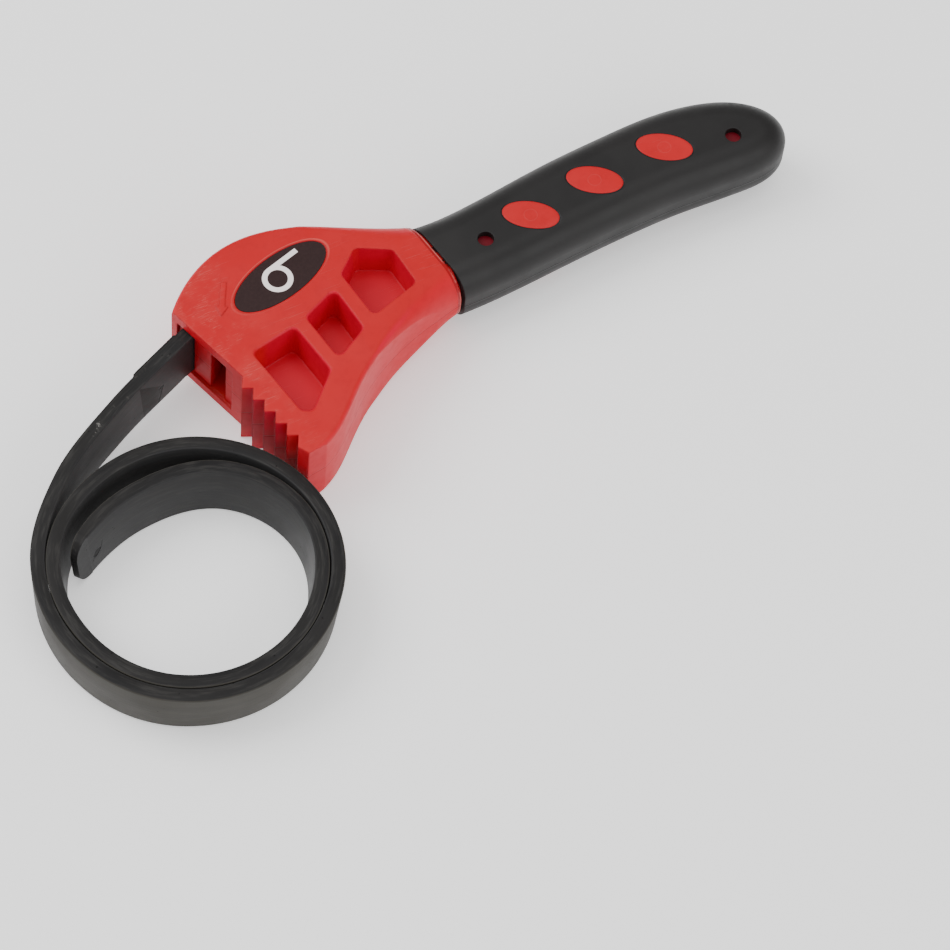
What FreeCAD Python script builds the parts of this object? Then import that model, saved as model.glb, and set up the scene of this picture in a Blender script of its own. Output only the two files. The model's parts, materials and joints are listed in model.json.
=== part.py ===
import FreeCAD, Part
import math
import os

# Strap wrench: red moulded head and core, overmoulded grip, label,
# anchor pin, and a rubber strap coiled up on its own free end.
# Units are millimetres. +X runs along the handle, +Z is up, and the
# origin is the middle of the wrench's own plan, on the table.

os.makedirs("parts", exist_ok=True)
V = FreeCAD.Vector

# head and handle
HEAD_T = 37.0            # head thickness
MID_Z = HEAD_T / 2.0
EDGE_R = 2.0             # rounding of the head's long edges
GRIP_T = 29.0            # grip thickness
GRIP_EDGE_R = 11.0       # rounding of the grip's long edges
GRIP_WALL = 3.0          # overmould thickness
GROOVE_DEPTH = 1.1
HOLE_D = 6.5             # locator pin marks
OVAL_LONG = 22.6
OVAL_SHORT = 12.4
OVAL_ANGLE = -33.5

# teeth
TOOTH_COUNT = 5
TOOTH_STEP = V(1.62, -6.42, 0)
TOOTH_TIP = V(-92.8, -17.4, 0)
TOOTH_ROOT = V(-88.8, -19.2, 0)

# strap
STRAP_W = 25.0
STRAP_T = 5.4
TIP_R = 8.0              # rounding of the free end's corners
STRAP_Z = 6.0            # lower edge of the strap inside the head
STRAP_DROP = 3           # links over which it comes down to the table
LINKS = 20
KNUCKLE_GAP = 0.06
MOUTH = V(-103.4, 14.9, 0)
COIL = V(-139.3, -71.0, 0)
COIL_R1 = 55.1           # outer turn, middle of the strap
COIL_R2 = 49.3           # inner turn
EYE = V(-88.2, 21.7, 0)
EYE_D = 10.5
PIN_D = 5.0
PIN_TOP = 34.0
SLOT_GAP = 0.4
RETURN_IN = V(-95.4, -0.6, 0)
RETURN_OUT = V(-45.0, 43.0, 0)
RETURN_W = 7.0
RECESS = 1.3

# head detail
POCKET_DEPTH = 15.0
POCKET_RIM = 0.7
POCKET_R = 2.6
LABEL = V(-57.9, 21.2, 0)
LABEL_LONG = 44.4
LABEL_SHORT = 19.0
LABEL_ANGLE = 16.2
LABEL_DEPTH = 0.5
ARROW = V(-86.3, 14.5, 0)
ARROW_ANGLE = 241.0

# row origin
SHIFT = V(19.77, 42.44, 0)


def save(shape, name):
    placed = shape.copy()
    placed.translate(SHIFT)
    placed.exportStep("parts/" + name + ".step")


def polar(radius, degrees, about=V(0, 0, 0)):
    a = math.radians(degrees)
    return about + V(radius * math.cos(a), radius * math.sin(a), 0)


def spline(points):
    curve = Part.BSplineCurve()
    curve.interpolate([V(x, y, 0) for x, y in points])
    return curve.toShape()


def prism(edges, z0, z1):
    face = Part.Face(Part.Wire(edges))
    face.translate(V(0, 0, z0))
    return face.extrude(V(0, 0, z1 - z0))


def rounded(points, radius, z):
    """Closed polygon with its corners rounded, as a wire at height z."""
    edges = []
    count = len(points)
    ends = []
    for i in range(count):
        before, here, after = points[i - 1], points[i], points[(i + 1) % count]
        a = (before - here).normalize()
        b = (after - here).normalize()
        half = math.acos(max(-1.0, min(1.0, a.dot(b)))) / 2.0
        reach = radius / math.tan(half)
        middle = (a + b).normalize() * (radius / math.sin(half))
        centre = here + middle
        inner = centre - (middle * (1.0 / middle.Length)) * radius
        ends.append((here + a * reach, inner, here + b * reach))
    for i in range(count):
        start, inner, stop = ends[i]
        edges.append(Part.Arc(start, inner, stop).toShape())
        edges.append(Part.makeLine(stop, ends[(i + 1) % count][0]))
    wire = Part.Wire(edges)
    wire.translate(V(0, 0, z))
    return wire


def ellipse_prism(centre, long_axis, short_axis, angle, z0, z1):
    curve = Part.Ellipse(V(0, 0, 0), long_axis / 2.0, short_axis / 2.0)
    face = Part.Face(Part.Wire([curve.toShape()]))
    face.rotate(V(0, 0, 0), V(0, 0, 1), angle)
    face.translate(centre + V(0, 0, z0))
    return face.extrude(V(0, 0, z1 - z0))


def bar(start, end, width, z0, z1):
    """Straight bar of the given width between two plan points."""
    run = end - start
    box = Part.makeBox(run.Length, width, z1 - z0, V(0, -width / 2.0, z0))
    box.rotate(V(0, 0, 0), V(0, 0, 1), math.degrees(math.atan2(run.y, run.x)))
    box.translate(start)
    return box


def mirrored(shape):
    return shape.mirror(V(0, 0, MID_Z), V(0, 0, 1))


def both_faces(shape):
    return [shape, mirrored(shape)]


# ---------------------------------------------------------------- head plan
BACK = [(-102.4, 24.6), (-96.9, 30.2), (-86.8, 37.6), (-74.9, 42.5), (-62.9, 43.9),
        (-52.0, 42.6), (-39.0, 38.8), (-25.8, 34.0), (-12.5, 29.3), (-1.3, 26.5)]
HOLLOW = [(5.4, -10.8), (-10.6, -13.6), (-28.2, -19.8), (-44.2, -28.9), (-56.9, -39.8),
          (-65.5, -47.4), (-74.0, -52.4)]

face_low = V(-90.2, -12.9, 0)
teeth = [V(BACK[0][0], BACK[0][1], 0), face_low]
for i in range(TOOTH_COUNT):
    teeth.append(TOOTH_TIP + TOOTH_STEP * i)
    teeth.append(TOOTH_ROOT + TOOTH_STEP * i)
nose_top = TOOTH_TIP + TOOTH_STEP * TOOTH_COUNT
teeth.append(nose_top)
teeth.append(V(-82.2, -53.6, 0))
teeth.append(V(HOLLOW[-1][0], HOLLOW[-1][1], 0))

neck_back = V(BACK[-1][0], BACK[-1][1], 0)
neck_front = V(HOLLOW[0][0], HOLLOW[0][1], 0)
along = V(neck_back.y - neck_front.y, neck_front.x - neck_back.x, 0).normalize()

outline = [spline(BACK), Part.makeLine(neck_back, neck_front), spline(HOLLOW)]
outline += [Part.makeLine(b, a) for a, b in zip(teeth[::-1][1:], teeth[::-1])]
head = prism(Part.__sortEdges__(outline), 0.0, HEAD_T)



def flat_edges(shape, curve):
    """Edges of the two flat faces that run along the given plan curve."""
    found = []
    for edge in shape.Edges:
        if edge.BoundBox.ZLength > 0.01:
            continue
        flat = edge.copy()
        flat.translate(V(0, 0, -edge.BoundBox.ZMin))
        middle = flat.valueAt((flat.FirstParameter + flat.LastParameter) / 2.0)
        if curve.distToShape(Part.Vertex(middle))[0] < 0.01:
            found.append(edge)
    return found


head = head.makeFillet(EDGE_R, flat_edges(head, spline(BACK)) + flat_edges(head, spline(HOLLOW)))


# the rear of the head is drawn down into an oval neck
def neck_section(x, y0, y1, inset, r):
    z0 = inset
    z1 = HEAD_T - inset
    k = r * (1.0 - math.sqrt(0.5))
    edges = [
        Part.makeLine(V(x, y0 + r, z0), V(x, y1 - r, z0)),
        Part.Arc(V(x, y1 - r, z0), V(x, y1 - k, z0 + k), V(x, y1, z0 + r)).toShape(),
        Part.makeLine(V(x, y1, z0 + r), V(x, y1, z1 - r)),
        Part.Arc(V(x, y1, z1 - r), V(x, y1 - k, z1 - k), V(x, y1 - r, z1)).toShape(),
        Part.makeLine(V(x, y1 - r, z1), V(x, y0 + r, z1)),
        Part.Arc(V(x, y0 + r, z1), V(x, y0 + k, z1 - k), V(x, y0, z1 - r)).toShape(),
        Part.makeLine(V(x, y0, z1 - r), V(x, y0, z0 + r)),
        Part.Arc(V(x, y0, z0 + r), V(x, y0 + k, z0 + k), V(x, y0 + r, z0)).toShape(),
    ]
    return Part.Wire(edges)


NECK = [(-54, -38.2, 43.6, -0.45, 2.0), (-40, -26.9, 39.6, 0.05, 3.2), (-28, -20.1, 35.1, 0.70, 5.4),
        (-16, -15.7, 31.0, 1.60, 8.2), (-4, -11.9, 27.7, 2.75, 11.0), (8, -9.7, 25.5, 4.1, 12.5)]
neck = Part.makeLoft([neck_section(*row) for row in NECK], True, False)
waste = Part.makeBox(61.0, 120.0, 60.0, V(-53.0, -60.0, -10.0)).cut(neck)
head = head.cut(waste)

# ---------------------------------------------------------------- grip plan
SIDE = [(0.3, 26.0), (11.0, 25.5), (22.0, 26.2), (38.0, 28.1), (61.0, 31.0), (88.0, 33.0),
        (111.0, 33.6), (128.0, 31.5), (140.8, 27.4), (150.8, 20.8), (156.6, 12.4), (157.0, 4.0),
        (152.0, -2.8), (143.5, -6.0), (132.0, -6.4), (120.0, -5.9), (106.0, -5.3), (90.0, -5.5),
        (61.0, -7.2), (38.0, -9.1), (20.0, -10.3), (6.6, -10.5)]


def inset_plan(points, distance, back):
    """The same plan moved inwards, and its open end moved back along -X."""
    moved = []
    last = len(points) - 1
    for i, (x, y) in enumerate(points):
        ax, ay = points[max(i - 1, 0)]
        bx, by = points[min(i + 1, last)]
        run = math.hypot(bx - ax, by - ay)
        moved.append((x + (by - ay) / run * distance, y - (bx - ax) / run * distance))
    if back:
        moved[0] = (moved[0][0] - back, moved[0][1])
        moved[-1] = (moved[-1][0] - back, moved[-1][1])
    return moved


def handle_solid(points, z0, radius):
    side = spline(points)
    first = V(points[0][0], points[0][1], 0)
    last = V(points[-1][0], points[-1][1], 0)
    solid = prism([side, Part.makeLine(last, first)], z0, HEAD_T - z0)
    return solid.makeFillet(radius, flat_edges(solid, side))


grip_z = (HEAD_T - GRIP_T) / 2.0
outer = handle_solid(SIDE, grip_z, GRIP_EDGE_R)
core = handle_solid(inset_plan(SIDE, GRIP_WALL, 6.0), grip_z + GRIP_WALL, GRIP_EDGE_R - GRIP_WALL)
collar_box = Part.makeBox(9.0, 60.0, HEAD_T, V(-4.0, -25.0, 0.0))
collar = handle_solid(inset_plan(SIDE, GROOVE_DEPTH, 6.0), grip_z + GROOVE_DEPTH, GRIP_EDGE_R - GROOVE_DEPTH)
collar = collar.common(collar_box).cut(outer)

bosses = []
for x, y in ((43.9, 7.9), (74.2, 11.8), (106.5, 13.9)):
    column = ellipse_prism(V(x, y, 0), OVAL_LONG, OVAL_SHORT, OVAL_ANGLE, 0.0, HEAD_T)
    bosses.append(column.common(outer))
core = core.fuse(bosses).removeSplitter()
grip = outer.cut(core)
for x, y in ((22.9, 5.4), (134.1, 7.5)):
    grip = grip.cut(Part.makeCylinder(HOLE_D / 2.0, HEAD_T, V(x, y, 0)))

# ---------------------------------------------------------------- pockets
POCKETS = [
    [V(-62.8, -1.2, 0), V(-58.8, -24.2, 0), V(-72.6, -37.6, 0), V(-76.6, -35.2, 0), V(-82.5, -4.9, 0)],
    [V(-41.6, 7.5, 0), V(-39.2, -12.7, 0), V(-53.5, -21.0, 0), V(-57.0, 0.6, 0)],
    [V(-26.3, 21.4, 0), V(-12.6, 15.0, 0), V(-10.9, -2.2, 0), V(-33.1, -9.6, 0), V(-36.2, 12.4, 0)],
]


def shrunk(points, distance):
    middle = sum(points, V(0, 0, 0)) * (1.0 / len(points))
    return [p + (middle - p) * (distance / (middle - p).Length) for p in points]


def pocket(points):
    top = HEAD_T + 0.5
    shallow = HEAD_T - POCKET_RIM
    floor = HEAD_T - POCKET_DEPTH
    rim = [rounded(shrunk(points, -1.2), POCKET_R, top), rounded(points, POCKET_R, shallow)]
    well = [rounded(points, POCKET_R, shallow), rounded(shrunk(points, 1.4), POCKET_R, floor)]
    return Part.makeLoft(rim, True, True).fuse(Part.makeLoft(well, True, True))


for points in POCKETS:
    head = head.cut(both_faces(pocket(points)))

# ---------------------------------------------------------------- front face
face_top = V(BACK[0][0], BACK[0][1], 0)
down = (face_low - face_top).normalize()
inward = V(-down.y, down.x, 0)
head = head.cut(bar(face_top + down * 3.2, face_top + down * 33.6, 2.0 * RECESS, STRAP_Z - 1.2,
                    STRAP_Z + STRAP_W + 1.2))
head = head.cut(bar(MOUTH, EYE, STRAP_T + 2 * SLOT_GAP, STRAP_Z - SLOT_GAP, STRAP_Z + STRAP_W + SLOT_GAP))
socket = Part.makeCylinder(EYE_D / 2.0 + SLOT_GAP, STRAP_W + 2 * SLOT_GAP, EYE + V(0, 0, STRAP_Z - SLOT_GAP))
head = head.cut(socket)
head = head.cut(Part.makeCylinder(PIN_D / 2.0 + 0.02, PIN_TOP, EYE))

# the return channel leaves through the curved back
head = head.cut(bar(RETURN_IN, RETURN_OUT, RETURN_W, STRAP_Z - 0.8, STRAP_Z + STRAP_W + 0.8))
flare = [RETURN_IN - inward * 2.0 - down * 4.9, RETURN_IN - inward * 2.0 + down * 4.6,
         RETURN_IN + V(10.5, 4.4, 0), RETURN_IN + V(6.5, 8.6, 0)]
head = head.cut(prism(Part.makePolygon(flare + flare[:1]).Edges, STRAP_Z - 0.8, STRAP_Z + STRAP_W + 0.8))

# ---------------------------------------------------------------- label, arrow
recess = ellipse_prism(LABEL, LABEL_LONG, LABEL_SHORT, LABEL_ANGLE, HEAD_T - LABEL_DEPTH, HEAD_T + 1.0)
head = head.cut(recess)
label = ellipse_prism(LABEL, LABEL_LONG - 0.6, LABEL_SHORT - 0.6, LABEL_ANGLE, HEAD_T - LABEL_DEPTH,
                      HEAD_T - 0.1)
tail_end = ARROW + polar(15.3, ARROW_ANGLE + 180.0)
barb_a = ARROW + polar(5.0, ARROW_ANGLE + 151.0)
barb_b = ARROW + polar(5.0, ARROW_ANGLE - 151.0)
arrow = prism(Part.makePolygon([ARROW, barb_a, barb_b, ARROW]).Edges, HEAD_T - 0.3, HEAD_T + 0.3)
arrow = arrow.fuse(bar(tail_end, (barb_a + barb_b) * 0.5, 2.2, HEAD_T - 0.3, HEAD_T + 0.3))
head = head.fuse(arrow)

body = head.fuse([core, collar]).removeSplitter()
pin = Part.makeCylinder(PIN_D / 2.0, PIN_TOP - 0.8, EYE + V(0, 0, 0.6))
save(body, "head_and_core_moulding")
save(grip, "grip_overmould")
save(label, "oval_label")
save(pin, "strap_anchor_pin")

# ---------------------------------------------------------------- strap
LEAD = [MOUTH, V(-112.5, 11.2, 0), V(-125.2, 6.0, 0), V(-137.4, 0.1, 0), V(-150.5, -6.4, 0),
        V(-160.8, -12.9, 0), V(-170.4, -20.4, 0)]
TURNS = [(139.5, 58.2), (152.0, 56.9), (165.0, 55.8)]
TURNS += [(a, COIL_R1) for a in range(180, 346, 15)]
TURNS += [(360, 54.6), (375, 53.8), (390, 53.3), (405, 52.8), (420, 51.9), (435, 50.7), (448, 50.1),
          (460, 50.2), (472, 50.6), (485, 51.2), (498, 51.4), (512, 50.9), (526, 50.1), (540, 49.5)]
TURNS += [(a, COIL_R2) for a in range(555, 706, 15)]
TURNS += [(720, 48.4), (735, 46.9), (749, 45.4), (761, 43.9), (773, 42.3), (785, 40.5), (797, 39.0),
          (810, 38.0), (825, 37.8), (838, 38.6), (850, 40.1), (860, 42.0), (869, 44.2)]

middle_line = Part.BSplineCurve()
middle_line.interpolate(LEAD + [polar(r, a, COIL) for a, r in TURNS])
marks = middle_line.toShape().discretize(Number=2 * LINKS + 1)


def knuckle(at, radius, z0):
    return Part.makeCylinder(radius, STRAP_W, at + V(0, 0, z0))


def leaned(solid, start, end, z0, z1):
    """Keep the part of a tall solid between two sloping faces."""
    run = (end - start).normalize()
    rise = (z1 - z0) / (end - start).Length
    reach = 12.0
    a = start - run * reach + V(0, 0, z0 - rise * reach)
    b = end + run * reach + V(0, 0, z1 + rise * reach)
    lift = V(0, 0, STRAP_W)
    side = Part.Face(Part.makePolygon([a, b, b + lift, a + lift, a]))
    width = V(-run.y, run.x, 0) * 30.0
    side.translate(width * -1.0)
    return solid.common(side.extrude(width * 2.0))


def link(start, middle, end, z0, z1, last):
    arc = Part.Arc(start, middle, end).toShape().Curve
    centre = arc.Center
    rows = []
    for offset in (STRAP_T / 2.0, -STRAP_T / 2.0):
        scale = (arc.Radius + offset) / arc.Radius
        rows.append([centre + (p - centre) * scale for p in (start, middle, end)])
    wide, tight = rows
    edges = [Part.Arc(*wide).toShape(), Part.makeLine(wide[2], tight[2])]
    edges += [Part.Arc(*tight).toShape(), Part.makeLine(tight[0], wide[0])]
    low = min(z0, z1) - 3.0
    high = max(z0, z1) + STRAP_W + 3.0
    solid = prism(Part.__sortEdges__(edges), low, high)
    solid = solid.fuse(Part.makeCylinder(STRAP_T / 2.0, high - low, start + V(0, 0, low)))
    if not last:
        solid = solid.cut(Part.makeCylinder(STRAP_T / 2.0 + KNUCKLE_GAP, high - low, end + V(0, 0, low)))
    return leaned(solid, start, end, z0, z1).removeSplitter()


def round_tip(solid, before, end):
    """Round the two corners of the strap's free end."""
    run = end - before
    corners = [V(-60, 0, 0), V(0, 0, 0), V(0, STRAP_W, 0), V(-60, STRAP_W, 0)]
    keep = prism(rounded(corners, TIP_R, 0).Edges, -10.0, 10.0)
    keep.rotate(V(0, 0, 0), V(1, 0, 0), 90)
    keep.rotate(V(0, 0, 0), V(0, 0, 1), math.degrees(math.atan2(run.y, run.x)))
    keep.translate(end)
    return solid.common(keep).removeSplitter()


def height(i):
    return STRAP_Z * max(0.0, 1.0 - float(i) / STRAP_DROP)


for i in range(LINKS):
    solid = link(marks[2 * i], marks[2 * i + 1], marks[2 * i + 2], height(i), height(i + 1), i == LINKS - 1)
    if i == LINKS - 1:
        solid = round_tip(solid, marks[2 * i + 1], marks[2 * i + 2])
    save(solid, "strap_link_%02d" % (i + 1))

root = bar(EYE, MOUTH, STRAP_T, STRAP_Z, STRAP_Z + STRAP_W)
root = root.fuse(knuckle(EYE, EYE_D / 2.0, STRAP_Z))
root = root.cut(knuckle(MOUTH, STRAP_T / 2.0 + KNUCKLE_GAP, STRAP_Z))
root = root.cut(knuckle(EYE, PIN_D / 2.0 + 0.02, STRAP_Z)).removeSplitter()
save(root, "strap_anchor_end")
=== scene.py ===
import json
import math

import bpy
from mathutils import Matrix, Vector
from mathutils.geometry import interpolate_bezier


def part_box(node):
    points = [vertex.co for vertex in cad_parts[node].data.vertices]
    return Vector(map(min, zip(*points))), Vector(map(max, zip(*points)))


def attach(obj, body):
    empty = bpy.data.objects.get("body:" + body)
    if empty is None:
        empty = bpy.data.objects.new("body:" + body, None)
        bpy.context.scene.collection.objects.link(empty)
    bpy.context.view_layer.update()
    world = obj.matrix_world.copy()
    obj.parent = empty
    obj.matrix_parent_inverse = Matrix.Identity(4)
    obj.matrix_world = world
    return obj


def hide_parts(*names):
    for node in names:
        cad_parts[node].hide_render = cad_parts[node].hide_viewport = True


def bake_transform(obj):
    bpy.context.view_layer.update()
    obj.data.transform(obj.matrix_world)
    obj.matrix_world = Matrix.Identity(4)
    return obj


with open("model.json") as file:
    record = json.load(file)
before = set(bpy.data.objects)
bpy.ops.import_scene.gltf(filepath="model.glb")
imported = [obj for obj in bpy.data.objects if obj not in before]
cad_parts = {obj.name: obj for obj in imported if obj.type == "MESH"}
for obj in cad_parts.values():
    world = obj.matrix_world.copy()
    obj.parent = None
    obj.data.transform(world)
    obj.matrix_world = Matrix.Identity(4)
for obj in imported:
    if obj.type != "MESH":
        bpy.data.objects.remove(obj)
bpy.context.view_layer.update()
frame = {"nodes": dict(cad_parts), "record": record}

MM = 0.001
STRAP_W = 25.05 * MM
STRAP_T = 5.5 * MM
STRAP_RISE = 6.0 * MM            # how far the anchored end sits above the table
ANCHOR_LAP = 3.2 * MM            # how far the rubber reaches back into the head
STEP_AT = 22.6 * MM              # the strap is thicker up to here
STEP_T = 0.7 * MM
LINKS_TO_TABLE = 3               # the strap has come down to the table after these
LEAN = 2.2 * MM                  # the coil is this much tighter at the table
LEAN_FROM = 70.0 * MM            # the lean starts here along the strap
LEAN_OVER = 130.0 * MM           # and is full this much further on
TIP_R = 8.0 * MM                 # corners of the free end
TIP_TAPER = 24.0 * MM            # the free end thins over this length
TIP_THINNER = 0.52               # share of the thickness lost at the very end
EDGE_R = 0.6 * MM                # moulded edges of the strap
LABEL_TURN = 16.2                # degrees, label against the handle
SLICES = 36                      # cuts along each strap piece


# ------------------------------------------------------------------ shaders
class Value:
    """A shader socket that takes part in sums."""

    def __init__(self, look, socket):
        self.look = look
        self.socket = socket

    def math(self, operation, *others):
        sockets = {0: self}
        sockets.update({i + 1: other for i, other in enumerate(others)})
        return self.look.node("ShaderNodeMath", {"operation": operation}, sockets)

    def reflected(self, operation, other):
        return self.look.node("ShaderNodeMath", {"operation": operation}, {0: other, 1: self})

    def __add__(self, other):
        return self.math("ADD", other)

    def __radd__(self, other):
        return self.math("ADD", other)

    def __sub__(self, other):
        return self.math("SUBTRACT", other)

    def __rsub__(self, other):
        return self.reflected("SUBTRACT", other)

    def __mul__(self, other):
        return self.math("MULTIPLY", other)

    def __rmul__(self, other):
        return self.math("MULTIPLY", other)

    def __truediv__(self, other):
        return self.math("DIVIDE", other)

    def __rtruediv__(self, other):
        return self.reflected("DIVIDE", other)

    def __pow__(self, other):
        return self.math("POWER", other)

    def size(self):
        return self.math("ABSOLUTE")

    def most(self, other):
        return self.math("MAXIMUM", other)

    def ramp(self, low, high, start=0.0, stop=1.0):
        """Smooth change from start to stop as this goes from low to high."""
        sockets = {"Value": self, "From Min": low, "From Max": high, "To Min": start, "To Max": stop}
        return self.look.node("ShaderNodeMapRange", {"interpolation_type": "SMOOTHSTEP"}, sockets)


class Look:
    """One material, with its Principled shader."""

    def __init__(self, name):
        self.material = bpy.data.materials.new(name)
        self.material.use_nodes = True
        self.tree = self.material.node_tree
        self.tree.nodes.clear()
        self.shader = self.tree.nodes.new("ShaderNodeBsdfPrincipled")
        output = self.tree.nodes.new("ShaderNodeOutputMaterial")
        self.tree.links.new(self.shader.outputs["BSDF"], output.inputs["Surface"])

    def feed(self, socket, value):
        if isinstance(value, Value):
            self.tree.links.new(value.socket, socket)
        else:
            socket.default_value = value

    def node(self, kind, settings=None, sockets=None, out=0):
        node = self.tree.nodes.new(kind)
        for key, setting in (settings or {}).items():
            setattr(node, key, setting)
        for key, value in (sockets or {}).items():
            self.feed(node.inputs[key], value)
        return Value(self, node.outputs[out])

    def place(self):
        return self.node("ShaderNodeTexCoord", out="Object")

    def strap_place(self):
        return self.node("ShaderNodeAttribute", {"attribute_name": "strap_place"}, out="Vector")

    def axis(self, vector, letter):
        return self.node("ShaderNodeSeparateXYZ", sockets={0: vector}, out=letter)

    def normal(self, letter):
        return self.axis(self.node("ShaderNodeNewGeometry", out="Normal"), letter)

    def noise(self, where, scale, detail=2.0, rough=0.5, distort=0.0):
        return self.node("ShaderNodeTexNoise", {}, {"Vector": where, "Scale": scale, "Detail": detail,
                                                    "Roughness": rough, "Distortion": distort})

    def cells(self, where, scale, spread=1.0):
        return self.node("ShaderNodeTexVoronoi", {"feature": "F1"},
                         {"Vector": where, "Scale": scale, "Randomness": spread}, out="Distance")

    def stretched(self, where, turn, scale):
        return self.node("ShaderNodeMapping", {}, {"Vector": where, "Rotation": turn, "Scale": scale})

    def mix(self, amount, first, second):
        return self.node("ShaderNodeMix", {"data_type": "RGBA"}, {0: amount, 6: first, 7: second}, out=2)

    def bump(self, height, distance, strength=1.0, edges=None):
        sockets = {"Height": height, "Distance": distance, "Strength": strength}
        if edges is not None:
            sockets["Normal"] = edges
        return self.node("ShaderNodeBump", {}, sockets)

    def soft_edges(self, radius):
        """Surface direction with the moulding's sharp corners eased over."""
        return self.node("ShaderNodeBevel", {"samples": 6}, {"Radius": radius})

    def oval(self, where, centre, long_axis, short_axis, degrees):
        """1 on the rim of a plan ellipse, under 1 inside and more outside."""
        turn = math.radians(degrees)
        x = self.axis(where, "X") - centre[0]
        y = self.axis(where, "Y") - centre[1]
        u = (x * math.cos(turn) + y * math.sin(turn)) / (long_axis / 2.0)
        v = (y * math.cos(turn) - x * math.sin(turn)) / (short_axis / 2.0)
        return (u * u + v * v) ** 0.5

    def finish(self, colour, rough, bump=None, **fixed):
        self.feed(self.shader.inputs["Base Color"], colour)
        self.feed(self.shader.inputs["Roughness"], rough)
        if bump is not None:
            self.feed(self.shader.inputs["Normal"], bump)
        for name, value in fixed.items():
            self.shader.inputs[name.replace("_", " ")].default_value = value
        return self.material


def scratches(look, where, turn, width, length, keep):
    """Thin straight marks in one direction, 1 on the mark."""
    scale = (1.0 / length, 1.0 / width, 1.0 / length)
    lines = look.noise(look.stretched(where, (0, 0, turn), scale), 1.0, 1.0)
    return lines.ramp(keep, keep + 0.03)


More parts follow.
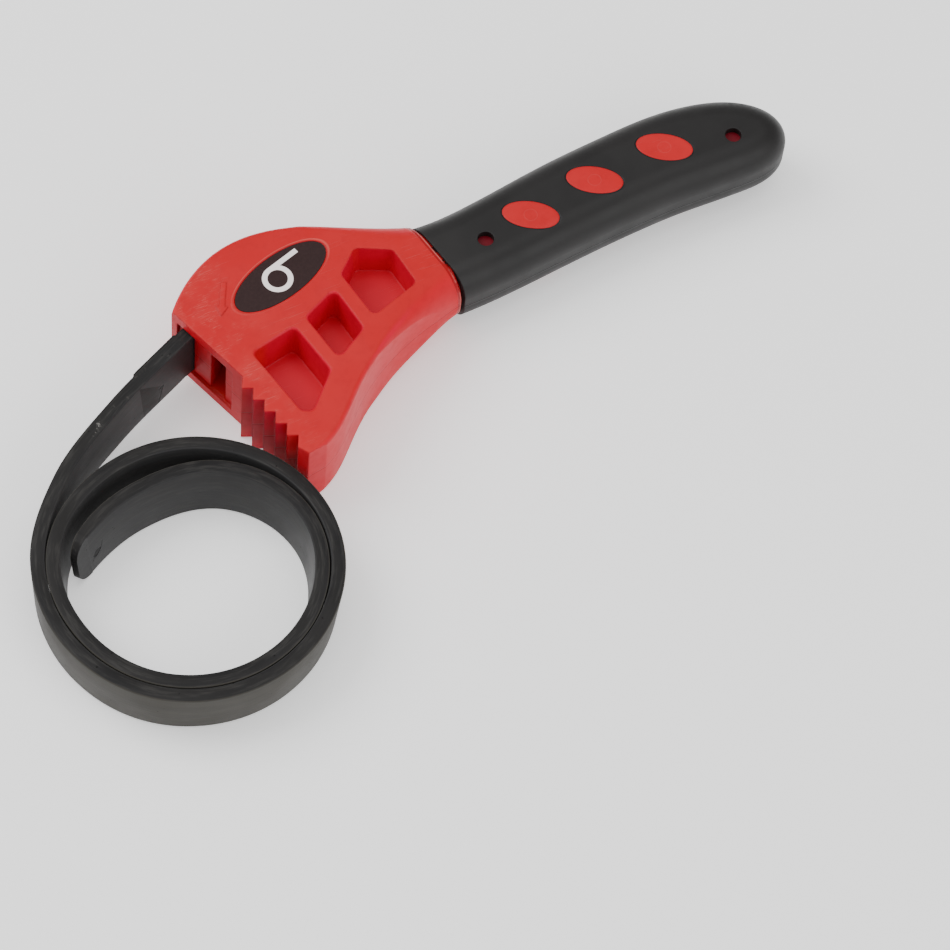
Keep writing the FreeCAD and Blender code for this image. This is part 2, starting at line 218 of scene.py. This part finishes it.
def red_plastic(label_middle, windows, collar_at):
    look = Look("red_moulded_nylon")
    where = look.place()
    cloud = look.noise(where, 38.0, 3.0, 0.55)
    mottle = look.noise(where, 260.0, 3.0, 0.6)
    grain = look.noise(where, 2600.0, 2.0, 0.6)
    x = look.axis(where, "X")
    y = look.axis(where, "Y")
    z = look.axis(where, "Z")
    upright = look.normal("Z").size()
    top = upright.ramp(0.80, 0.99)
    walls = upright.ramp(0.55, 0.25)
    middle = (z - 0.0185).size()
    fine = scratches(look, where, 0.9, 0.00022, 0.016, 0.735)
    fine = fine.most(scratches(look, where, -0.35, 0.00018, 0.012, 0.745))
    fine = fine.most(scratches(look, where, 2.2, 0.00026, 0.020, 0.75))
    nicks = look.cells(where, 85.0).ramp(0.045, 0.025) * look.noise(where, 21.0).ramp(0.55, 0.64)
    marks = fine * look.noise(where, 30.0, 2.0).ramp(0.42, 0.62) * top
    worn = scratches(look, where, 1.5, 0.00020, 0.007, 0.66)
    worn = worn.most(scratches(look, where, 0.2, 0.0002, 0.006, 0.67))
    corner = x.ramp(-0.045, -0.075) * look.noise(where, 90.0, 3.0, 0.7).ramp(0.45, 0.62)
    face = middle.ramp(0.0178, 0.0183)
    cored = top * middle.ramp(0.0105, 0.0085)
    ring = look.oval(where, label_middle, 0.0452, 0.0198, LABEL_TURN)
    # lip is the label recess rim: raised in the bump, and lightened in colour as a painted highlight
    lip = (ring - 1.03).size().ramp(0.030, 0.008) * face
    gate = sum(((look.oval(where, spot, 0.0052, 0.0052, 0) - 1.0).size().ramp(0.10, 0.03)
                for spot in windows), 0.0) * top * middle.ramp(0.0120, 0.0135)
    from_collar = x + y * 0.18 - (collar_at - 0.0005)
    # collar is the groove where the head meets the grip: cut in the bump, and darkened in colour as
    # painted shade
    collar_groove_and_shade = from_collar.size().ramp(0.0019, 0.0014)
    # Painted highlight: a thin lighter glossy line along the collar
    painted_collar_highlight = (from_collar + 0.0004).size().ramp(0.0005, 0.0001)
    painted_collar_highlight = painted_collar_highlight * look.noise(where, 130.0, 3.0).ramp(0.42, 0.55)
    smudge = (from_collar - 0.0011).size().ramp(0.0012, 0.0008)
    smudge = smudge * look.noise(where, 210.0, 3.0).ramp(0.56, 0.60) * top
    # Painted shade: the red core seen at the bottom of the grip's holes is darkened as if in shadow
    painted_hole_shade = middle.ramp(0.0130, 0.0122) * top * x.ramp(0.030, 0.036)
    seam = middle.ramp(0.00042, 0.00012) * walls
    specks = look.cells(where, 420.0).ramp(0.10, 0.06) * look.noise(where, 160.0).ramp(0.52, 0.60)
    specks = specks * walls * x.ramp(-0.060, -0.068)
    # Painted light: the tops take plain red, the walls a deeper, bluer red as painted shade, and the
    # pocket walls a brighter crimson as painted light. These are lit and shaded copies of the one red.
    plain = (0.50, 0.0070, 0.0105, 1)
    wall_shaded_red = (0.58, 0.0020, 0.0130, 1)
    pocket_lit_red = (0.60, 0.0003, 0.0260, 1)
    # inside marks the pockets; their walls get the brighter crimson as painted light
    inside = look.oval(where, (label_middle[0] + 0.0106, label_middle[1] - 0.0291), 0.106, 0.036, 27.6)
    colour = look.mix(inside.ramp(1.10, 0.98), wall_shaded_red, pocket_lit_red)
    colour = look.mix(top, colour, plain)
    colour = look.mix(cloud.ramp(0.35, 0.75, 0.0, 0.42) * top, colour, (0.56, 0.022, 0.023, 1))
    colour = look.mix(mottle.ramp(0.45, 0.7, 0.0, 0.14), colour, (0.30, 0.002, 0.006, 1))
    colour = look.mix(cored * 0.90, colour, (0.54, 0.0012, 0.0210, 1))
    colour = look.mix(marks * 0.34, colour, (0.62, 0.16, 0.14, 1))
    colour = look.mix(corner * worn * top * face * 0.45, colour, (0.66, 0.20, 0.17, 1))
    colour = look.mix(corner * face * 0.07, colour, (0.62, 0.15, 0.13, 1))
    # Painted highlight: a lighter line on the label recess rim, stronger on its upper side
    colour = look.mix(lip * y.ramp(0.060, 0.068, 0.10, 0.45), colour, (0.68, 0.12, 0.10, 1))
    colour = look.mix(gate * 0.12, colour, (0.62, 0.10, 0.09, 1))
    colour = look.mix(nicks * 0.75, colour, (0.72, 0.42, 0.38, 1))
    colour = look.mix(seam * 0.35, colour, (0.22, 0.001, 0.003, 1))
    colour = look.mix(specks * 0.8, colour, (0.03, 0.010, 0.008, 1))
    # Painted shade: the collar groove between head and grip is darkened
    colour = look.mix(collar_groove_and_shade * 0.75, colour, (0.26, 0.0015, 0.004, 1))
    colour = look.mix(painted_collar_highlight * 0.7, colour, (0.66, 0.16, 0.14, 1))
    colour = look.mix(smudge * 0.9, colour, (0.004, 0.003, 0.003, 1))
    # painted shade in the grip's holes
    colour = look.mix(painted_hole_shade * 0.95, colour, (0.12, 0.0005, 0.008, 1))
    height = grain * 0.10 + mottle * 0.25 - marks * 0.5 + nicks * 0.4 - seam * 2.6
    height = height + gate * 0.8 + lip * 1.6 - collar_groove_and_shade * 2.5
    rough = cloud.ramp(0.3, 0.7, 0.34, 0.43) + marks * 0.10 + mottle.ramp(0.3, 0.7, 0.0, 0.05)
    rough = rough + walls * 0.06 - collar_groove_and_shade * 0.20
    bump = look.bump(height, 0.00010, 0.6, look.soft_edges(0.0011))
    return look.finish(colour, rough, bump, Specular_IOR_Level=0.22)


def grip_rubber(windows, low):
    look = Look("black_grip_rubber")
    where = look.place()
    cloud = look.noise(where, 30.0, 3.0, 0.5)
    pebble = look.noise(where, 1500.0, 3.0, 0.65)
    rub = look.noise(where, 120.0, 4.0, 0.6)
    fine = scratches(look, where, 0.5, 0.00020, 0.010, 0.74)
    x = look.axis(where, "X") - low[0]
    y = look.axis(where, "Y") - low[1]
    z = look.axis(where, "Z")
    upright = look.normal("Z").size()
    near_end = x.ramp(0.134, 0.142) * y.ramp(0.028, 0.033) * rub.ramp(0.42, 0.62)
    side = upright.ramp(0.62, 0.35)
    flats = upright.ramp(0.90, 0.985)
    wander = look.noise(where, 90.0, 2.0) * 0.0005 - 0.00025
    seam = (z - 0.0172 + wander).size().ramp(0.00050, 0.00014) * side
    lip = (z - 0.0179 + wander).size().ramp(0.0004, 0.0001) * side
    tears = look.cells(look.stretched(where, (0, 0, 0), (1.0, 1.0, 0.05)), 42.0).ramp(0.16, 0.07)
    tears = tears * (z - 0.0170).size().ramp(0.0014, 0.0005) * side
    dust = look.cells(where, 150.0).ramp(0.035, 0.018) * look.noise(where, 26.0).ramp(0.58, 0.66)
    flash = look.noise(where, 700.0, 3.0, 0.7) * 0.03
    # outline is the groove round each oval window: cut in the bump, and darkened in colour as painted
    # shade
    window_groove_and_shade = 0.0
    for spot in windows:
        ring = look.oval(where, spot, 0.0226, 0.0124, -33.5)
        window_groove_and_shade = window_groove_and_shade + (ring - 1.035 + flash).size().ramp(0.040, 0.012)
    window_groove_and_shade = window_groove_and_shade * flats
    smear = look.oval(where, (windows[1][0] + 0.0015, windows[1][1] - 0.0058), 0.0065, 0.0014, -24.7)
    smear = smear.ramp(1.1, 0.8) * flats
    colour = look.mix(cloud.ramp(0.35, 0.7), (0.0115, 0.0107, 0.0106, 1), (0.0160, 0.0149, 0.0146, 1))
    colour = look.mix(near_end * 0.35, colour, (0.018, 0.0175, 0.017, 1))
    colour = look.mix((fine * flats * 0.25), colour, (0.030, 0.030, 0.030, 1))
    colour = look.mix((seam * 0.9).most(tears * 0.8), colour, (0.0015, 0.0015, 0.0015, 1))
    colour = look.mix(lip * 0.35, colour, (0.050, 0.050, 0.050, 1))
    # Painted shade: dark lines in the grooves round the oval windows
    colour = look.mix(window_groove_and_shade * 0.75, colour, (0.0015, 0.0012, 0.0012, 1))
    colour = look.mix(smear * 0.7, colour, (0.002, 0.002, 0.002, 1))
    colour = look.mix(dust * 0.5, colour, (0.10, 0.10, 0.10, 1))
    rough = rub.ramp(0.3, 0.7, 0.40, 0.48) + near_end * 0.10 - smear * 0.15
    height = pebble * 0.22 + rub * 0.35 + near_end * pebble * 0.8 + seam * 2.6 - tears * 3.0
    height = height - window_groove_and_shade * 2.2 + smear * 1.5 + lip * 0.8
    bump = look.bump(height, 0.00010, 0.7, look.soft_edges(0.0006))
    return look.finish(colour, rough, bump, Specular_IOR_Level=0.26)


def strap_rubber(strap_end):
    look = Look("strap_rubber")
    where = look.strap_place()
    along = look.axis(where, "X")
    across = look.axis(where, "Y")
    up = look.axis(where, "Z")
    outer = across.ramp(-0.0021, -0.0026)
    inner = across.ramp(0.0021, 0.0026)
    edge = 1.0 - outer.most(inner)
    upper = edge * up.ramp(0.020, 0.024)
    cloud = look.noise(where, 45.0, 3.0, 0.55)
    long_way = look.stretched(where, (0, 0, 0), (0.10, 1.0, 1.0))
    streak = look.noise(long_way, 900.0, 3.0, 0.6)
    broad = look.noise(long_way, 220.0, 2.0, 0.5)
    grain = look.noise(where, 2400.0, 3.0, 0.7)
    pits = look.cells(where, 260.0).ramp(0.11, 0.05) * look.noise(where, 90.0).ramp(0.50, 0.60)
    scuff = look.noise(where, 240.0, 4.0, 0.7).ramp(0.54, 0.64)
    scuff = scuff * ((along - 0.0495).size() + across * 0.6).ramp(0.0050, 0.0020) * upper
    lead = along.ramp(0.050, 0.036)
    nicked = look.noise(where, 330.0, 3.0, 0.7).ramp(0.60, 0.68) * upper * lead
    wander = look.noise(where, 240.0, 3.0) * 0.0012 - 0.0006
    past_right = along + up * 0.29 - 0.0158
    mark = past_right.ramp(-0.0001, 0.0002) * (along - up * 0.09 - 0.0235).ramp(0.0002, -0.0002)
    mark = mark * (up - along * 1.03 + 0.0020 + wander).ramp(0.0004, -0.0004) * inner
    crack = (past_right + wander * 0.5).size().ramp(0.00065, 0.00025) * up.ramp(0.0112, 0.0106)
    hook = (up - 0.0109 + wander * 0.5).size().ramp(0.0007, 0.0003)
    hook = hook * (along - 0.0136).size().ramp(0.0014, 0.0010)
    crack = crack.most(hook) * inner
    ragged = look.noise(where, 800.0, 3.0, 0.6) * 0.6 - 0.3
    # the dent near the free end: pressed in the bump, and filled near black as painted shade in the hole
    dent_along = (along - (strap_end - 0.0122)) / 0.0026
    dent_up = (up - 0.0096 + dent_along * 0.0006) / (0.0019 + dent_along * 0.0006)
    dent_and_shade = ((dent_along * dent_along + dent_up * dent_up) ** 0.5 + ragged).ramp(1.10, 0.70) * inner
    split = (along - (strap_end - 0.0152) + (up - 0.0118) * 0.25 + ragged * 0.0004).size()
    split = split.ramp(0.00040, 0.00015) * (up - 0.0124).size().ramp(0.0020, 0.0012) * inner * 0.5
    # coil sets how strongly the outer face takes the painted floor reflection below
    coil = along.ramp(0.09, 0.16)
    colour = look.mix(cloud.ramp(0.35, 0.7), (0.0125, 0.0121, 0.0124, 1), (0.0175, 0.0169, 0.0173, 1))
    # Painted light: the inner face is lighter as a painted sheen, and the outer face lighter still along
    # the coil as a painted reflection of the floor
    colour = look.mix(inner * 0.75, colour, (0.0390, 0.0385, 0.0395, 1))
    colour = look.mix(outer * (coil * 0.75 + 0.10), colour, (0.0590, 0.0550, 0.0470, 1))
    colour = look.mix(broad.ramp(0.40, 0.65, 0.0, 0.25), colour, (0.0280, 0.0260, 0.0235, 1))
    colour = look.mix(streak.ramp(0.45, 0.75, 0.0, 0.50), colour, (0.052, 0.050, 0.047, 1))
    colour = look.mix(pits * 0.8, colour, (0.002, 0.002, 0.002, 1))
    colour = look.mix(mark * 0.90, colour, (0.0050, 0.0038, 0.0030, 1))
    colour = look.mix(crack * 0.95, colour, (0.0004, 0.0004, 0.0004, 1))
    # Painted shade: the dent is filled near black; the split is a dark line
    colour = look.mix(dent_and_shade.most(split), colour, (0.0005, 0.0005, 0.0005, 1))
    colour = look.mix(nicked * 0.5, colour, (0.060, 0.055, 0.050, 1))
    colour = look.mix(scuff * 0.8, colour, (0.26, 0.25, 0.235, 1))
    rough = cloud.ramp(0.3, 0.7, 0.42, 0.52) + streak * 0.08 - inner * 0.06 - upper * 0.08
    height = grain * 0.30 + streak * 0.5 + broad * 0.5 - pits * 2.0 - mark * 0.4 - crack * 5.0
    height = height - dent_and_shade * 9.0 - split * 3.0 + scuff * 1.2
    return look.finish(colour, rough, look.bump(height, 0.00012, 0.7), Specular_IOR_Level=0.11)


def label_film(middle):
    look = Look("oval_label_film")
    sockets = {0: look.place(), 1: tuple(middle)}
    centred = look.node("ShaderNodeVectorMath", {"operation": "SUBTRACT"}, sockets)
    where = look.stretched(centred, (0, 0, -math.radians(LABEL_TURN)), (1, 1, 1))
    x = look.axis(where, "X")
    y = look.axis(where, "Y")
    ring = ((x + 0.0015) * (x + 0.0015) + y * y) ** 0.5
    ring = (ring - 0.0050).size().ramp(0.00115, 0.00095)
    tail = (y - 0.0050).size().ramp(0.00115, 0.00095) * x.ramp(-0.0020, -0.0017) * x.ramp(0.0127, 0.0124)
    sign = ring.most(tail)
    speck = look.noise(look.place(), 900.0, 3.0, 0.7)
    colour = look.mix(speck.ramp(0.3, 0.8), (0.0165, 0.0030, 0.0030, 1), (0.0220, 0.0052, 0.0050, 1))
    colour = look.mix(sign * speck.ramp(0.2, 0.5, 0.90, 1.0), colour, (1.0, 0.90, 0.88, 1))
    rough = speck.ramp(0.3, 0.7, 0.34, 0.42)
    bump = look.bump(speck * 0.3 + sign * 0.8, 0.00003, 0.5)
    return look.finish(colour, rough, bump, Specular_IOR_Level=0.3)


def pin_steel():
    look = Look("bright_steel_pin")
    where = look.place()
    lathe = look.noise(look.stretched(where, (0, 0, 0), (1.0, 1.0, 30.0)), 400.0, 2.0)
    colour = look.mix(lathe, (0.42, 0.42, 0.43, 1), (0.60, 0.60, 0.61, 1))
    return look.finish(colour, lathe.ramp(0.2, 0.8, 0.25, 0.4), look.bump(lathe, 0.00003), Metallic=1.0)


def table_top():
    look = Look("pale_floor")
    haze = look.noise(look.place(), 3.0, 2.0)
    glow = look.mix(haze, (1.0, 1.0, 1.0, 1), (0.97, 0.97, 0.97, 1))
    look.feed(look.shader.inputs["Emission Color"], glow)
    colour = look.mix(haze, (0.88, 0.88, 0.88, 1), (0.90, 0.90, 0.90, 1))
    return look.finish(colour, 0.9, Emission_Strength=0.45)


# ------------------------------------------------------------------ strap
def clear_selection():
    if bpy.context.object and bpy.context.object.mode != "OBJECT":
        bpy.ops.object.mode_set(mode="OBJECT")
    bpy.ops.object.select_all(action="DESELECT")


def pick_faces(obj, test):
    for part in (obj.data.vertices, obj.data.edges, obj.data.polygons):
        for item in part:
            item.select = False
    for face in obj.data.polygons:
        face.select = test(face)


def pick_edges(obj, test):
    points = obj.data.vertices
    for part in (points, obj.data.edges, obj.data.polygons):
        for item in part:
            item.select = False
    for edge in obj.data.edges:
        edge.select = test(points[edge.vertices[0]].co, points[edge.vertices[1]].co)


def edit(kind):
    bpy.ops.object.mode_set(mode="EDIT")
    bpy.ops.mesh.select_mode(type=kind)


def leave_edit():
    bpy.ops.object.mode_set(mode="OBJECT")


def straight_strap(name, start, stop, free_end):
    """A straight length of strap lying along +X, later bent to the coil."""
    clear_selection()
    middle = ((start + stop) / 2.0, 0.0, STRAP_W / 2.0)
    bpy.ops.mesh.primitive_cube_add(size=1.0, location=middle, scale=(stop - start, STRAP_T, STRAP_W))
    strap = bpy.context.object
    strap.name = name
    bpy.ops.object.transform_apply(location=True, rotation=True, scale=True)
    if free_end:
        pick_edges(strap, lambda a, b: abs(a.y - b.y) > 1e-4 and min(a.x, b.x) > stop - 1e-5)
        edit("EDGE")
        bpy.ops.mesh.bevel(offset=TIP_R, segments=8, affect="EDGES")
        leave_edit()
    for i in range(1, SLICES):
        at = start + (stop - start) * i / SLICES
        edit("FACE")
        bpy.ops.mesh.select_all(action="SELECT")
        bpy.ops.mesh.bisect(plane_co=(at, 0, 0), plane_no=(1, 0, 0))
        leave_edit()
    if start < STEP_AT:
        pick_faces(strap, lambda f: f.normal.y < -0.9 and 0.0 < f.center.x < STEP_AT)
        edit("FACE")
        bpy.ops.mesh.extrude_region_move(TRANSFORM_OT_translate={"value": (0, -STEP_T, 0)})
        leave_edit()
    pick_edges(strap, lambda a, b: abs(a.x - b.x) > 1e-5 and abs(a.z - b.z) < 1e-6
               and abs(a.y - b.y) < 1e-6 and min(a.z, STRAP_W - a.z) < 1e-5)
    edit("EDGE")
    bpy.ops.mesh.bevel(offset=EDGE_R, segments=3, affect="EDGES")
    leave_edit()
    remember_place(strap)
    return strap


def remember_place(strap):
    """Keep each point's straight place, for the finish to follow the strap."""
    kept = strap.data.attributes.new("strap_place", "FLOAT_VECTOR", "POINT")
    for point, slot in zip(strap.data.vertices, kept.data):
        slot.vector = point.co


def circle_through(a, b, c):
    """Centre of the plan circle through three points."""
    ab = b - a
    ac = c - a
    turn = 2.0 * (ab.x * ac.y - ab.y * ac.x)
    if abs(turn) < 1e-12:
        return None
    x = (ac.y * ab.length_squared - ab.y * ac.length_squared) / turn
    y = (ab.x * ac.length_squared - ac.x * ab.length_squared) / turn
    return a + Vector((x, y, 0.0))


def strap_path(points):
    """Bezier line through the hinge points, used to bend the strap."""
    curve = bpy.data.curves.new("strap_path", "CURVE")
    curve.dimensions = "3D"
    curve.twist_mode = "Z_UP"
    curve.resolution_u = 64
    line = curve.splines.new("BEZIER")
    line.bezier_points.add(len(points) - 1)
    last = len(points) - 1
    for i, point in enumerate(points):
        a = points[max(0, min(i - 1, last - 2))]
        b = points[max(1, min(i, last - 1))]
        c = points[max(2, min(i + 1, last))]
        centre = circle_through(a, b, c)
        if centre is None:
            tangent = (c - a).normalized()
        else:
            radial = point - centre
            tangent = Vector((-radial.y, radial.x, 0.0)).normalized()
            if tangent.dot(c - a) < 0.0:
                tangent = -tangent
        knot = line.bezier_points[i]
        knot.handle_left_type = "FREE"
        knot.handle_right_type = "FREE"
        knot.co = point
        step_back = (point - points[i - 1]).length if i else (points[1] - point).length
        step_on = (points[i + 1] - point).length if i < last else step_back
        knot.handle_left = point - tangent * handle_length(step_back, centre, point)
        knot.handle_right = point + tangent * handle_length(step_on, centre, point)
    path = bpy.data.objects.new("strap_path", curve)
    bpy.context.scene.collection.objects.link(path)
    return path


def handle_length(chord, centre, point):
    """Bezier handle that keeps a chord of this length round."""
    if centre is None:
        return chord / 3.0
    radius = (point - centre).length
    half = math.asin(min(1.0, chord / (2.0 * radius)))
    return 4.0 / 3.0 * math.tan(half / 2.0) * radius


def spans(path):
    """Length of the path up to each knot."""
    knots = path.data.splines[0].bezier_points
    total = [0.0]
    for a, b in zip(knots, list(knots)[1:]):
        dots = interpolate_bezier(a.co, a.handle_right, b.handle_left, b.co, 400)
        total.append(total[-1] + sum((q - p).length for p, q in zip(dots, dots[1:])))
    return total


def along_path(path, i, share):
    knots = path.data.splines[0].bezier_points
    if share < 0.0:
        i -= 1
        share += 1.0
    a, b = knots[i], knots[i + 1]
    dots = interpolate_bezier(a.co, a.handle_right, b.handle_left, b.co, 201)
    return dots[int(round(share * 200))]


def bend_strap(strap, path):
    clear_selection()
    bpy.context.view_layer.objects.active = strap
    strap.select_set(True)
    bend = strap.modifiers.new("bend", "CURVE")
    bend.object = path
    bend.deform_axis = "POS_X"
    bpy.ops.object.modifier_apply(modifier="bend")
    clear_selection()


# ------------------------------------------------------------------ build
record = frame["record"]
joints = sorted(record["behaviour"]["joints"], key=lambda joint: joint["name"])
links = [joint["child"] for joint in joints]
hinges = [Vector((joint["pos_m"][0], joint["pos_m"][1], 0.0)) for joint in joints]

# the strap's line runs on past the last hinge to the middle of its free end
low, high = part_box(links[-1])
tip = Vector((low[0] + STRAP_T * 0.26, low[1] + STRAP_T * 0.38, 0.0))
path = strap_path([hinges[0] * 2.0 - hinges[1]] + hinges + [tip])
lengths = spans(path)
origin = lengths[1]
strap_end = lengths[-1] - origin

grip_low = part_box("grip_overmould")[0]
label_low, label_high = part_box("oval_label")
label_middle = (Vector(label_low) + Vector(label_high)) / 2.0
windows = [(grip_low[0] + 43.6 * MM, grip_low[1] + 18.4 * MM),
           (grip_low[0] + 73.9 * MM, grip_low[1] + 22.3 * MM),
           (grip_low[0] + 106.2 * MM, grip_low[1] + 24.4 * MM)]
webbing = strap_rubber(strap_end)
finishes = {
    "head_and_core_moulding": red_plastic(label_middle, windows, grip_low[0] + 11.5 * MM),
    "grip_overmould": grip_rubber(windows, grip_low),
    "oval_label": label_film(label_middle),
    "strap_anchor_pin": pin_steel(),
    "strap_anchor_end": webbing,
}
for name, finish in finishes.items():
    frame["nodes"][name].data.materials.clear()
    frame["nodes"][name].data.materials.append(finish)

# the anchored end's own straight place, so its finish runs on from the strap's
anchor = frame["nodes"]["strap_anchor_end"]
pin_low, pin_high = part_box("strap_anchor_pin")
pin = (Vector(pin_low) + Vector(pin_high)) / 2.0
heading = (hinges[0] - pin).to_2d().to_3d().normalized()
left = Vector((-heading.y, heading.x, 0.0))
kept = anchor.data.attributes.new("strap_place", "FLOAT_VECTOR", "POINT")
for point, slot in zip(anchor.data.vertices, kept.data):
    reach = point.co - hinges[0]
    slot.vector = (reach.dot(heading), reach.dot(left), point.co.z - STRAP_RISE)


def strap_height(s):
    """Height of the strap's lower edge, s metres after it leaves the head."""
    drop_over = lengths[LINKS_TO_TABLE + 1] - origin
    share = min(1.0, max(0.0, s / drop_over))
    return STRAP_RISE * (1.0 - share)


def middle_of(i):
    """Length up to the middle of link i, counted from the first hinge."""
    return (lengths[i + 1] + lengths[i + 2]) / 2.0 - origin


def settle(place):
    """Move one point of the straight strap to its height, lean and thickness."""
    s = place.x
    near = min(1.0, max(0.0, 1.0 - (strap_end - s) / TIP_TAPER))
    place.y *= 1.0 - TIP_THINNER * near * near
    coiled = min(1.0, max(0.0, (s - LEAN_FROM) / LEAN_OVER))
    place.y += LEAN * coiled * (1.0 - place.z / STRAP_W)
    place.z += strap_height(s)
    place.x += origin


for i in range(len(links) + 1):
    tail = i == len(links)
    start = -ANCHOR_LAP if i == 0 else middle_of(i - 1)
    stop = strap_end if tail else middle_of(i)
    strap = straight_strap("strap_piece_%02d" % (i + 1), start, stop, tail)
    for point in strap.data.vertices:
        settle(point.co)
    bend_strap(strap, path)
    clear_selection()
    bpy.context.view_layer.objects.active = strap
    strap.select_set(True)
    bpy.ops.object.shade_smooth_by_angle(angle=math.radians(32))
    strap.data.materials.append(webbing)
    if tail:
        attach(strap, links[-1])
        continue
    before = along_path(path, 1, -0.04) if i == 0 else along_path(path, i, 0.5)
    after = along_path(path, i + 1, 0.5)
    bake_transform(strap)
    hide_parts(links[i])
bpy.data.objects.remove(path)

# ------------------------------------------------------------------ studio
def area_light(name, place, aim, size, power):
    lamp = bpy.data.lights.new(name, "AREA")
    lamp.shape = "DISK"
    lamp.size = size
    lamp.energy = power
    light = bpy.data.objects.new(name, lamp)
    light.location = place
    light.rotation_euler = (Vector(aim) - Vector(place)).to_track_quat("-Z", "Y").to_euler()
    bpy.context.scene.collection.objects.link(light)


area_light("key_light", (-0.9, 0.9, 1.5), (0, 0, 0), 1.4, 25.0)
area_light("fill_light", (0.6, -1.5, 1.0), (0, 0, 0), 1.6, 15.0)
area_light("top_light", (0.2, 0.1, 2.2), (0, 0, 0), 1.8, 15.0)

world = bpy.data.worlds.new("studio")
world.use_nodes = True
world.node_tree.nodes["Background"].inputs["Color"].default_value = (1.0, 1.0, 1.0, 1)
world.node_tree.nodes["Background"].inputs["Strength"].default_value = 0.60
bpy.context.scene.world = world

clear_selection()
bpy.ops.mesh.primitive_plane_add(size=9.0, location=(0, 0, -0.0004))
floor = bpy.context.object
floor.name = "floor"
floor.data.materials.append(table_top())

ELEVATION = math.radians(60.34)
HEADING = math.radians(-123.0)
ROLL = math.radians(6.84)
DISTANCE = 1.6154
aim = Vector((0.0012, -0.0284, 0.0))
away = Vector((math.cos(ELEVATION) * math.cos(HEADING), math.cos(ELEVATION) * math.sin(HEADING),
               math.sin(ELEVATION)))
lens = bpy.data.cameras.new("camera")
lens.lens = 159.16
lens.sensor_width = 36.0
camera = bpy.data.objects.new("camera", lens)
turn = (-away).to_track_quat("-Z", "Y").to_matrix()
turn = turn @ Matrix.Rotation(ROLL, 3, "Z")
camera.matrix_world = Matrix.Translation(aim + away * DISTANCE) @ turn.to_4x4()
bpy.context.scene.collection.objects.link(camera)
bpy.context.scene.camera = camera
